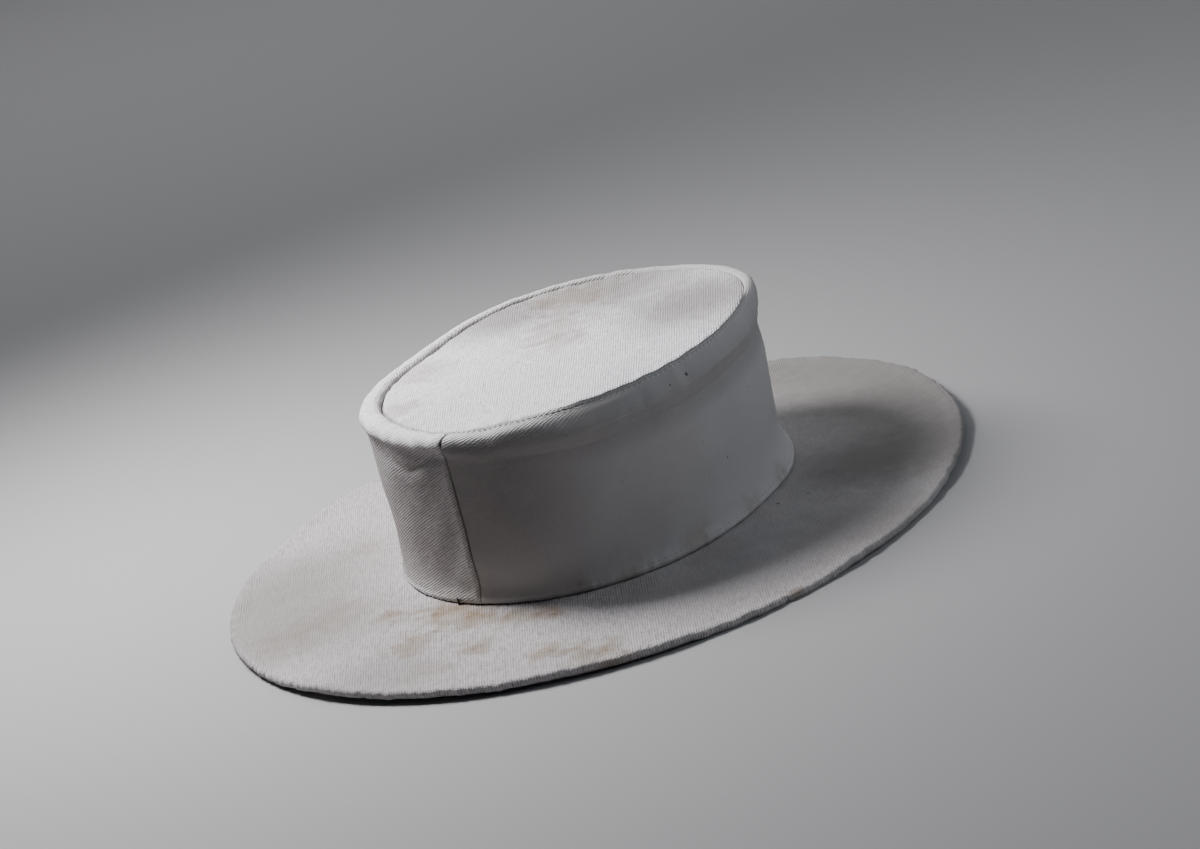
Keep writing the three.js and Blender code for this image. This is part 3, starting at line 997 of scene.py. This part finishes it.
def side_turn(turn):
    """Draws the vertices together at the seam, where turn is 0."""
    return SEAM + turn - SEAM_GATHER * np.sin(turn)


def ring_spot(turn, radius, up, skin):
    """Lays a vertex of the spun ring, whose turn starts at the seam."""
    return side_spot(side_turn(turn), radius - HALF_LENGTH, up, skin)


def map_cloth(mesh, turn, along):
    """Gives the band a map in metres: round the head from the seam, and along the profile."""
    corner = np.empty(len(mesh.loops), dtype=int)
    mesh.loops.foreach_get("vertex_index", corner)
    starts = np.empty(len(mesh.polygons), dtype=int)
    sizes = np.empty(len(mesh.polygons), dtype=int)
    mesh.polygons.foreach_get("loop_start", starts)
    mesh.polygons.foreach_get("loop_total", sizes)
    owner = np.repeat(np.arange(len(sizes)), sizes)
    turns = turn[corner]
    highest = np.maximum.reduceat(turns, starts)
    turns = np.where((highest[owner] > math.pi * 1.5) & (turns < math.pi), 2 * math.pi, turns)
    u = (side_turn(turns) - SEAM) * SIDE_RADIUS * MM
    v = along[corner] * MM
    layer = mesh.uv_layers.new(name="cloth")
    layer.data.foreach_set("uv", np.stack([u, v], axis=1).ravel())


side_mesh = spun("side_cloth", *side_profile(), SIDE_STEPS)
map_cloth(side_mesh, *laid(side_mesh, ring_spot))
shown(side_mesh, "crown_side", side_drill)

# %% [markdown]
# ## The tip
# The tip is an oval panel, sewn inside the roll and a little lower than it. It follows the tilt of the
# crown's top edge, is faintly domed, and has sunk in three places. A soft fold and a few faint streaks
# cross it. Close to the seam the cloth puckers, and its edge dips into the seam. A filled circle could be
# the panel, but a spun profile has its rows close together near the edge, where the puckers are. A dent
# is its place, its depth and its reach, and a fold's form is its depth and its width.

# %% Tip
TIP_STEPS = 112
TIP_UNDER_ROWS = 14
TIP_INNER_ROWS = 30
TIP_OUTER_ROWS = 22
TIP_RADIUS = 85.0
TIP_SINK = 0.6
TIP_DOME = 0.8
TIP_DENTS = [(46, -46, 1.0, 20), (-48, -28, 0.8, 18), (18, -18, 0.6, 26)]
TIP_FOLD = [(47, -23), (37, -60)]
TIP_STREAKS = [[(-46, -15), (-53, -39)], [(-40, -24), (-47, -48)]]
TIP_STREAKS += [[(24, -14), (14, -34)], [(58, -42), (50, -62)]]
TIP_FOLD_FORM = (0.8, 4.0)
STREAK_FORM = (0.25, 1.9)
TIP_SWAY = (0.22, 30.0, 31)
TIP_BUMPS = (0.05, 9.0, 32)
TIP_PUCKERS = (0.16, 6.0, 33)


def top_plane():
    """The plane that lies closest to the crown's top edge: its mean lift and its tilt to +X and +Y."""
    lift = np.array(TOP_LIFT)
    angle = np.arange(len(lift)) * 2 * math.pi / len(lift)
    return lift.mean(), 2 * (lift * np.cos(angle)).mean(), 2 * (lift * np.sin(angle)).mean()


def tip_profile():
    """From the axis along the underside to the edge, and back over the top to the axis."""
    inner = np.linspace(0, 0.85, TIP_INNER_ROWS)
    outer = np.linspace(0.865, 1.0, TIP_OUTER_ROWS)
    under = [(HALF_LENGTH * share, -TIP_WALL) for share in np.linspace(0, 1, TIP_UNDER_ROWS)]
    over = [(HALF_LENGTH * share, 0.0) for share in np.concatenate([inner, outer])[::-1]]
    return under + over, [0] * len(under) + [1] * len(over)


def crease(x, y, line, depth, width):
    """A soft straight crease between two places, fading at its ends."""
    start, end = np.array(line, dtype=float)
    way = end - start
    length = np.hypot(*way)
    along = ((x - start[0]) * way[0] + (y - start[1]) * way[1]) / length ** 2
    off = ((x - start[0]) * way[1] - (y - start[1]) * way[0]) / length
    ends = ramp(along, -0.1, 0.25) * (1 - ramp(along, 0.75, 1.1))
    return ends * depth * bell(off, width)


def tip_spot(angle, radius, up, skin):
    """Lays the tip inside the roll, and adds its dents, creases and puckers."""
    share = radius / HALF_LENGTH
    mean, slope_x, slope_y = top_plane()
    out = SEAM_OUT + EVEN_STRIP - around(TOP_STRIP, angle) - GAP
    x = (HALF_WIDTH + out) * share * np.cos(angle) + CROWN_LEAN[0]
    y = (HALF_LENGTH + out) * share * np.sin(angle) + CROWN_LEAN[1]
    slope = slope_x * np.cos(angle) + slope_y * np.sin(angle)
    ripple = around(TOP_LIFT, angle) - mean - slope
    level = FOOT_HEIGHT + CROWN_HEIGHT - TIP_SINK + mean
    z = level + share * slope + share ** 2 * ripple + TIP_DOME * (1 - share ** 2) + up
    for dent_x, dent_y, depth, reach in TIP_DENTS:
        away = np.hypot(x - dent_x, y - dent_y)
        z = z - depth * bell(away, reach) * (1 - share ** 4)
    arc = angle * TIP_RADIUS
    soft = crumple(x, y, *TIP_SWAY) + crumple(x, y, *TIP_BUMPS)
    pucker = crumple(arc, 0.3 * radius, *TIP_PUCKERS) * ramp(share, 0.84, 0.97)
    dip = (2.0 - 1.6 * shoulder(angle)) * ramp(share, 0.980, 1.0)
    swell = 0.5 * shoulder(angle) * share ** 4
    bend = crease(x, y, TIP_FOLD, *TIP_FOLD_FORM)
    for line in TIP_STREAKS:
        bend = bend + crease(x, y, line, *STREAK_FORM)
    z = z + swell + skin * (soft * (1 - share ** 6) + pucker - dip - bend)
    return x, y, z


tip_mesh = spun("tip_cloth", *tip_profile(), TIP_STEPS)
laid(tip_mesh, tip_spot)
shown(tip_mesh, "crown_tip", tip_drill)

# %% [markdown]
# ## Thread
# The hat is sewn with cotton thread. It is white on top, greyer at the foot, and one dark end is tied off
# there. Thread is twisted from strands, which at this size are only lighter and darker specks, so a fine
# noise is enough for both the colour and the bump.

# %% Thread
THREAD_WHITE = (0.72, 0.70, 0.67)
# The foot's thread is greyer than the top's: painted shade, like the band's wall beside it.
FOOT_GREY = (0.44, 0.43, 0.42)
KNOT_BROWN = (0.06, 0.045, 0.035)
STRANDS_PER_METRE = 1400.0
STRAND_HEIGHT = 0.0001


def thread_finish(name, tint):
    """Cotton thread, with lighter and darker strands."""
    paint = bpy.data.materials.new(name)
    paint.use_nodes = True
    desk = Field(paint.node_tree)
    shader = paint.node_tree.nodes["Principled BSDF"]
    place = desk.node("ShaderNodeTexCoord", {}, {}, out="Object")
    cloud = noise(desk, place, STRANDS_PER_METRE, 2.0)
    darker = tuple(0.85 * part for part in tint)
    colour = mix_colour(desk, cloud, (*darker, 1.0), (*tint, 1.0))
    relief = desk.node("ShaderNodeBump", {}, {"Height": cloud, "Distance": STRAND_HEIGHT, "Strength": 0.6})
    paint.node_tree.links.new(colour.socket, shader.inputs["Base Color"])
    paint.node_tree.links.new(relief.socket, shader.inputs["Normal"])
    shader.inputs["Roughness"].default_value = 0.85
    shader.inputs["Specular IOR Level"].default_value = 0.3
    print(name, "has", len(paint.node_tree.nodes), "nodes")
    return paint


tip_thread = thread_finish("thread", THREAD_WHITE)
foot_thread = thread_finish("foot_thread", FOOT_GREY)
dark_thread = thread_finish("dark_thread", KNOT_BROWN)

# %% [markdown]
# ## Stitches
# A row of stitches holds the turned strip down outside the tip's seam, and another holds the lip at the
# foot. Each stitch is a short piece of thread that sinks into the cloth at both ends. A curve with a
# round bevel could follow it, but a small sphere, stretched along the row and half sunk, has the same
# look with few faces. A row is one mesh.

# %% Stitches
STITCH_LENGTH = 2.1
STITCH_TURN = 0.005
THREAD = 0.3
ROW_SAMPLES = 2400
ROLL_FOOT = 70
TIP_ROW_OUT = -5.2
FOOT_ROW_UP = 2.9


def band_places(angles, even, up):
    """Places on the band's outer face, at one point of its profile and many angles."""
    ones = np.ones_like(angles)
    return np.stack(side_spot(angles, even * ones, up * ones, ones), axis=1)


def stitch_row(name, even, up, out_way, sunk, paint):
    """A row of stitches round the side band at one point of its profile, sunk by a share of the thread."""
    angles = np.linspace(0, 2 * math.pi, ROW_SAMPLES, endpoint=False)
    row = band_places(angles, even, up)
    steps = np.hypot(*np.diff(np.vstack([row, row[:1]])[:, :2], axis=0).T)
    length = np.concatenate([[0], np.cumsum(steps)])
    count = int(length[-1] / STITCH_PITCH)
    turns = np.interp((np.arange(count) + 0.5) / count * length[-1], length[:-1], angles)
    starts, middles, ends = (band_places(turns + k * STITCH_TURN, even, up) for k in (-1, 0, 1))
    shape = bmesh.new()
    for angle, start, middle, end in zip(turns, starts, middles, ends):
        way = Vector(end - start).normalized()
        out = Vector((math.cos(angle) * out_way[0], math.sin(angle) * out_way[0], out_way[1]))
        out = (out - way * out.dot(way)).normalized()
        turn = Matrix((way, out.cross(way), out)).transposed().to_4x4()
        size = Matrix.Diagonal((STITCH_LENGTH / 2, THREAD, THREAD, 1.0))
        spot = Vector(middle) - out * THREAD * sunk
        place = Matrix.Scale(MM, 4) @ Matrix.Translation(spot) @ turn @ size
        bmesh.ops.create_uvsphere(shape, u_segments=6, v_segments=6, radius=1.0, matrix=place)
    mesh = bpy.data.meshes.new(name)
    shape.to_mesh(mesh)
    shape.free()
    shown(mesh, None, paint)


on_top = side_line[side_line[:, 1] >= ROLL_FOOT]
tip_row_place = on_top[np.argmin(np.abs(on_top[:, 0] - TIP_ROW_OUT))]
foot_row_place = side_line[np.argmin(np.abs(side_line[:, 1] - FOOT_ROW_UP))]
stitch_row("tip_stitches", *tip_row_place, (0.0, 1.0), 0.35, tip_thread)
stitch_row("foot_stitches", *foot_row_place, (1.0, 0.6), 0.7, foot_thread)

# %% [markdown]
# ## The tied end
# One dark end of thread is tied off at the foot, left of the seam. A curve could be knotted there, but at
# two millimetres only its outline shows. So three small spheres, each stretched and leaning its own way,
# are its turns: how far up each lies, how it leans, and its size.

# %% Knot
KNOT_ANGLE = math.radians(84.6)
KNOT_PLACE = (-0.7, 1.2)
KNOT_OUT = 0.6
KNOT_TURNS = [(0.8, 0.5, (0.5, 0.55, 1.1)), (0.0, -0.7, (0.6, 0.6, 1.0)), (-0.9, 0.3, (0.5, 0.55, 0.9))]


def foot_knot(angle):
    """The dark end of a thread, tied off at the foot: three short turns of it, one over the other."""
    base = Vector(band_places(np.array([angle]), *KNOT_PLACE)[0])
    out = Vector((math.cos(angle), math.sin(angle), 0.0))
    shape = bmesh.new()
    for up, lean, size in KNOT_TURNS:
        turn = Matrix.Rotation(lean, 4, out)
        form = Matrix.Diagonal((*size, 1.0))
        spot = base + out * KNOT_OUT + Vector((0.0, 0.0, up))
        place = Matrix.Scale(MM, 4) @ Matrix.Translation(spot) @ turn @ form
        bmesh.ops.create_uvsphere(shape, u_segments=8, v_segments=8, radius=1.0, matrix=place)
    mesh = bpy.data.meshes.new("foot_knot")
    shape.to_mesh(mesh)
    shape.free()
    shown(mesh, None, dark_thread)


foot_knot(KNOT_ANGLE)
